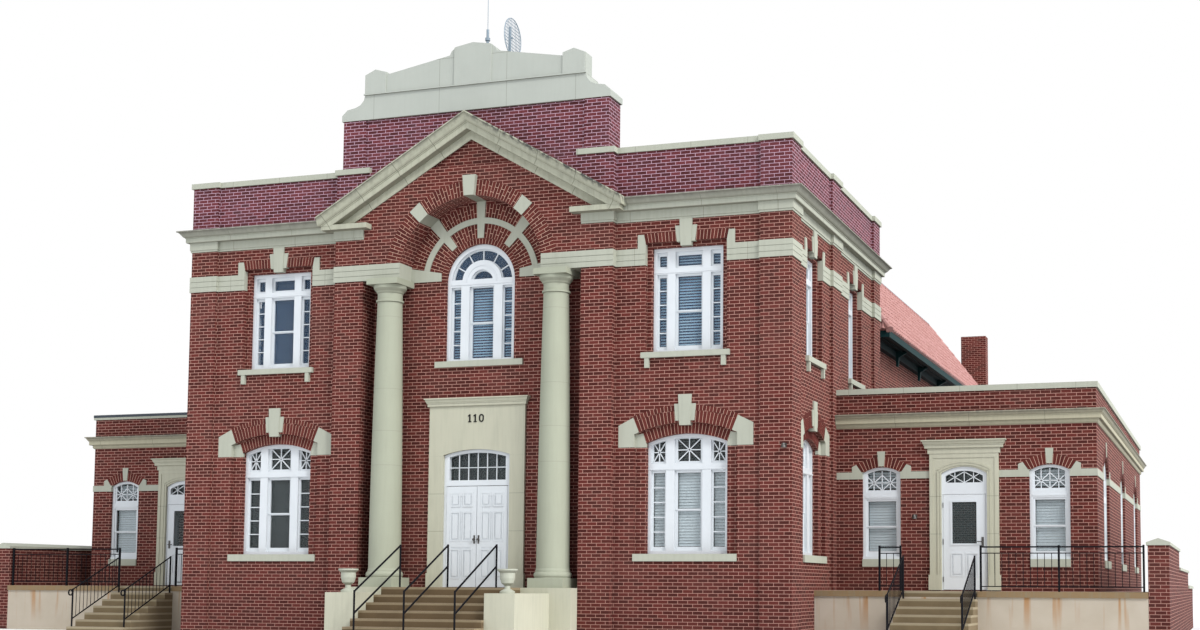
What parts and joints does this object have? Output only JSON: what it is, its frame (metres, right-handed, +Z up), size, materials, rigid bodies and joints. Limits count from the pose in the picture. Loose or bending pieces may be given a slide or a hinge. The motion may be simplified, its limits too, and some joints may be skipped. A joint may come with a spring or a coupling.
{
  "type": "town hall building",
  "caption": "Brick town hall with a columned arched portal, pediment, stepped attic, flat-roofed side wings, raised terraces and a tile-roofed hall behind; its doors swing outward.",
  "frame": {"origin": "centre of the bounding box at its bottom, at ground level", "axes": "+Z up, -Y towards the front the portal faces, +X to the right seen from the front"},
  "size_m": [28.3, 31.5, 14.14],
  "materials": {
    "black_iron": "satin black paint",
    "brick": "matte red face brick",
    "clay_tile": "matte clay tile",
    "concrete": "matte weathered concrete",
    "glass": "clear, dark behind",
    "green_paint": "satin dark green paint",
    "grey_metal": "dull grey metal",
    "limestone": "matte dressed limestone",
    "render": "matte cream render",
    "roofing": "matte roofing felt on concrete",
    "white_paint": "satin white paint on wood"
  },
  "bodies": {
    "building": {"ground_floor": "concrete", "upper_floor": "concrete", "flat_roofs": "roofing", "front_wall_left": "brick", "front_wall_right": "brick", "pavilion_wall": "brick", "entry_wall": "brick", "side_wall_left": "brick", "side_wall_right": "brick", "rear_wall": "brick", "attic_wall": "brick", "column_left": "limestone", "column_right": "limestone", "impost_blocks": "limestone", "arch_stones": "limestone", "belt_course": "limestone", "main_cornice": "limestone", "pediment_cornice": "limestone", "parapet_copings": "limestone", "attic_cresting": "limestone", "window_stones": "limestone", "door_surrounds": "limestone", "front_windows": "white_paint", "side_windows": "white_paint", "window_glass": "glass", "entry_frame": "white_paint", "left_wing_front": "brick", "right_wing_front": "brick", "left_wing_side": "brick", "right_wing_side": "brick", "wing_rear_walls": "brick", "wing_cornices": "limestone", "wing_stones": "limestone", "wing_windows": "white_paint", "wing_door_frames": "white_paint", "hall_walls": "brick", "hall_roof": "clay_tile", "hall_eaves": "green_paint", "chimney": "brick", "front_steps": "concrete", "step_blocks": "limestone", "entry_urns": "limestone", "entry_rails": "black_iron", "terraces": "render", "terrace_copings": "limestone", "wing_steps": "concrete", "terrace_railings": "black_iron", "wing_rails": "black_iron", "wall_lamps": "grey_metal", "terrace_end_walls": "brick", "end_wall_copings": "limestone", "antenna_mast": "grey_metal", "grid_dish": "grey_metal"},
    "entry_leaf_left": {"entry_door_left": "white_paint"},
    "entry_leaf_right": {"entry_door_right": "white_paint"},
    "wing_leaf_left": {"left_wing_door": "white_paint", "left_door_glass": "glass"},
    "wing_leaf_right": {"right_wing_door": "white_paint", "right_door_glass": "glass"}
  },
  "joints": [
    {"name": "entry_leaf_right_swing", "type": "hinge", "parent": "building", "child": "entry_leaf_right", "pos_m": [0.722, -12.528, 1.1], "axis": [0, 0, 1], "range_deg": [0, 90]},
    {"name": "entry_leaf_left_swing", "type": "hinge", "parent": "building", "child": "entry_leaf_left", "pos_m": [-0.722, -12.528, 1.1], "axis": [0, 0, -1], "range_deg": [0, 90]},
    {"name": "wing_leaf_right_swing", "type": "hinge", "parent": "building", "child": "wing_leaf_right", "pos_m": [9.421, -9.218, 1.1], "axis": [0, 0, -1], "range_deg": [0, 90]},
    {"name": "wing_leaf_left_swing", "type": "hinge", "parent": "building", "child": "wing_leaf_left", "pos_m": [-9.421, -9.218, 1.1], "axis": [0, 0, 1], "range_deg": [0, 90]}
  ]
}
